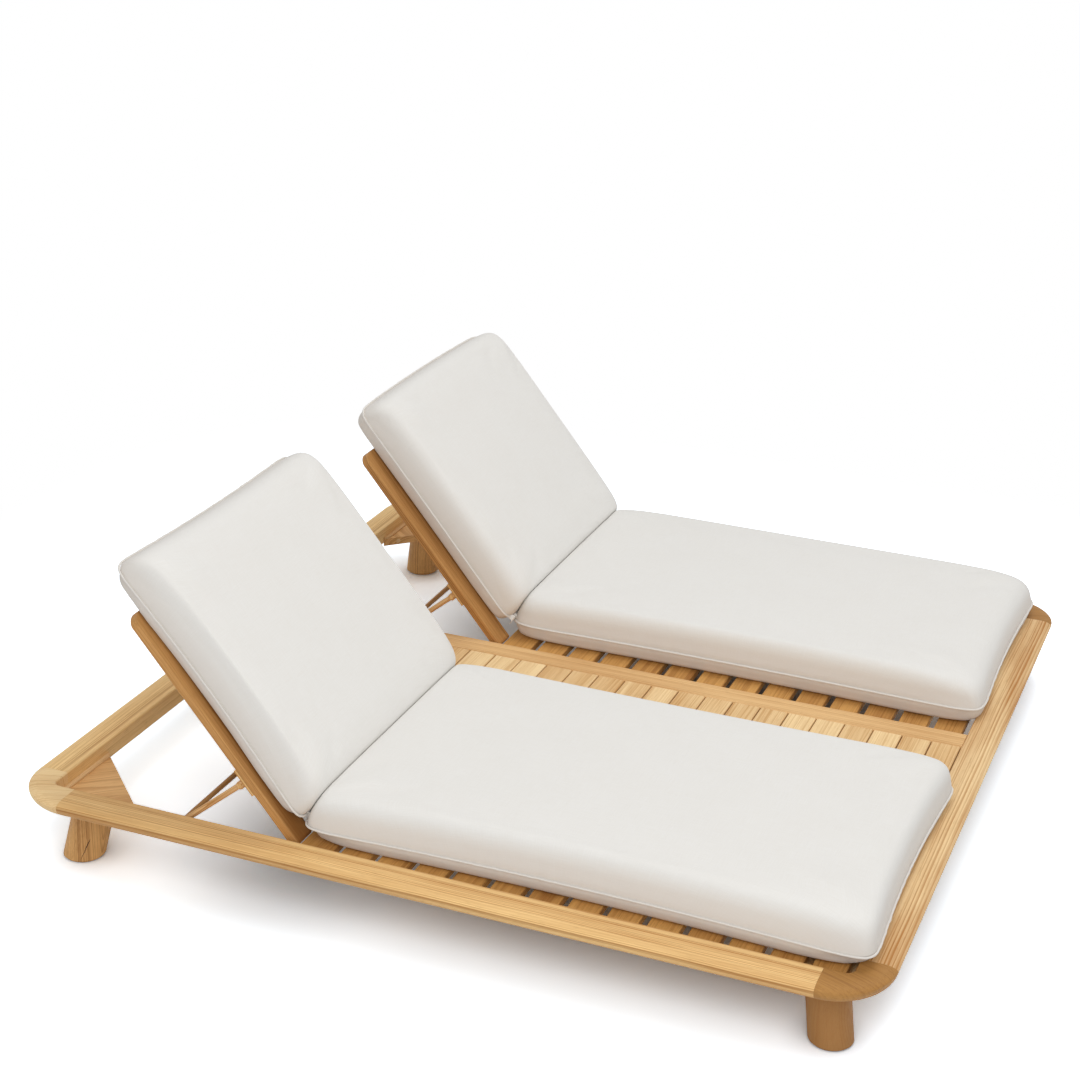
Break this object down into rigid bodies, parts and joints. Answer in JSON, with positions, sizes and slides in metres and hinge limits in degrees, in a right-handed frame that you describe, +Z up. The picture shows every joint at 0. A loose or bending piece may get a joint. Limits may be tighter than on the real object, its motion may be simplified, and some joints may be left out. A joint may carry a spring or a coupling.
{
  "type": "outdoor daybed",
  "caption": "Low two-person wooden daybed on round splayed legs, with a slatted middle deck and, on each side, a reclining slatted back with prop and thick piped cushions.",
  "frame": {"origin": "on the ground, under the middle of the rectangular frame", "axes": "+X towards the foot end, +Y towards the left bay as seen by someone lying down looking at the foot end, +Z up"},
  "size_m": [2, 2.09, 0.7886],
  "materials": {
    "teak_rail": "satin",
    "teak_block": "satin",
    "teak_slat": "satin",
    "teak_leg": "satin",
    "teak_dark": "satin",
    "teak_pale": "satin",
    "teak_hidden": "satin",
    "steel": "satin",
    "cushion_cloth": "matte"
  },
  "bodies": {
    "base": {"side_rail_right": "teak_rail", "side_rail_left": "teak_rail", "head_rail": "teak_rail", "foot_rail": "teak_rail", "corner_block_head_right": "teak_block", "corner_block_head_left": "teak_block", "corner_block_foot_right": "teak_block", "corner_block_foot_left": "teak_block", "corner_dowels": "teak_hidden", "gusset_head_right": "teak_dark", "gusset_head_left": "teak_dark", "gusset_foot_right": "teak_dark", "gusset_foot_left": "teak_dark", "gusset_cleats": "teak_pale", "gusset_plugs": "teak_pale", "gusset_screws": "steel", "leg_head_right": "teak_leg", "leg_head_left": "teak_leg", "leg_foot_right": "teak_leg", "leg_foot_left": "teak_leg", "leg_bolts": "steel", "spine_right": "teak_rail", "spine_left": "teak_rail", "deck_slats": "teak_slat", "deck_battens": "teak_hidden", "seat_slats_right": "teak_slat", "seat_slats_left": "teak_slat", "seat_battens": "teak_hidden", "notch_racks": "teak_hidden", "pivot_pins": "steel", "seat_cushion_right": "cushion_cloth", "seat_cushion_left": "cushion_cloth", "hinge_strip_right": "cushion_cloth", "hinge_strip_left": "cushion_cloth"},
    "back_right": {"back_outer_stile_right": "teak_rail", "back_inner_stile_right": "teak_rail", "back_top_rail_right": "teak_rail", "back_bottom_rail_right": "teak_rail", "back_slats_right": "teak_slat", "prop_knuckles_right": "teak_hidden", "prop_pins_right": "teak_pale"},
    "cushion_right": {"back_cushion_right": "cushion_cloth"},
    "prop_right": {"prop_arms_right": "teak_rail", "prop_crossbar_right": "teak_dark"},
    "back_left": {"back_outer_stile_left": "teak_rail", "back_inner_stile_left": "teak_rail", "back_top_rail_left": "teak_rail", "back_bottom_rail_left": "teak_rail", "back_slats_left": "teak_slat", "prop_knuckles_left": "teak_hidden", "prop_pins_left": "teak_pale"},
    "cushion_left": {"back_cushion_left": "cushion_cloth"},
    "prop_left": {"prop_arms_left": "teak_rail", "prop_crossbar_left": "teak_dark"}
  },
  "joints": [
    {"name": "recline_right", "type": "hinge", "parent": "base", "child": "back_right", "pos_m": [-0.3175, 0, 0.1825], "axis": [0, 1, 0], "range_deg": [-49.8, 8.2]},
    {"name": "cushion_slide_right", "type": "slide", "parent": "back_right", "child": "cushion_right", "axis": [-0.6455, 0, 0.7638], "range_m": [-0.046, 0.0085]},
    {"name": "prop_swing_right", "type": "hinge", "parent": "back_right", "child": "prop_right", "pos_m": [-0.44668, 0, 0.29198], "axis": [0, 1, 0], "range_deg": [-16, 92]},
    {"name": "recline_left", "type": "hinge", "parent": "base", "child": "back_left", "pos_m": [-0.3175, 0, 0.1825], "axis": [0, 1, 0], "range_deg": [-49.8, 8.2]},
    {"name": "cushion_slide_left", "type": "slide", "parent": "back_left", "child": "cushion_left", "axis": [-0.6455, 0, 0.7638], "range_m": [-0.046, 0.0085]},
    {"name": "prop_swing_left", "type": "hinge", "parent": "back_left", "child": "prop_left", "pos_m": [-0.44668, 0, 0.29198], "axis": [0, 1, 0], "range_deg": [-16, 92]}
  ],
  "couplings": [
    {"joint": "cushion_slide_right", "follows": "recline_right", "m_per_rad": 0.05},
    {"joint": "prop_swing_right", "follows": "recline_right", "ratio": -1.83},
    {"joint": "cushion_slide_left", "follows": "recline_left", "m_per_rad": 0.05},
    {"joint": "prop_swing_left", "follows": "recline_left", "ratio": -1.83}
  ]
}
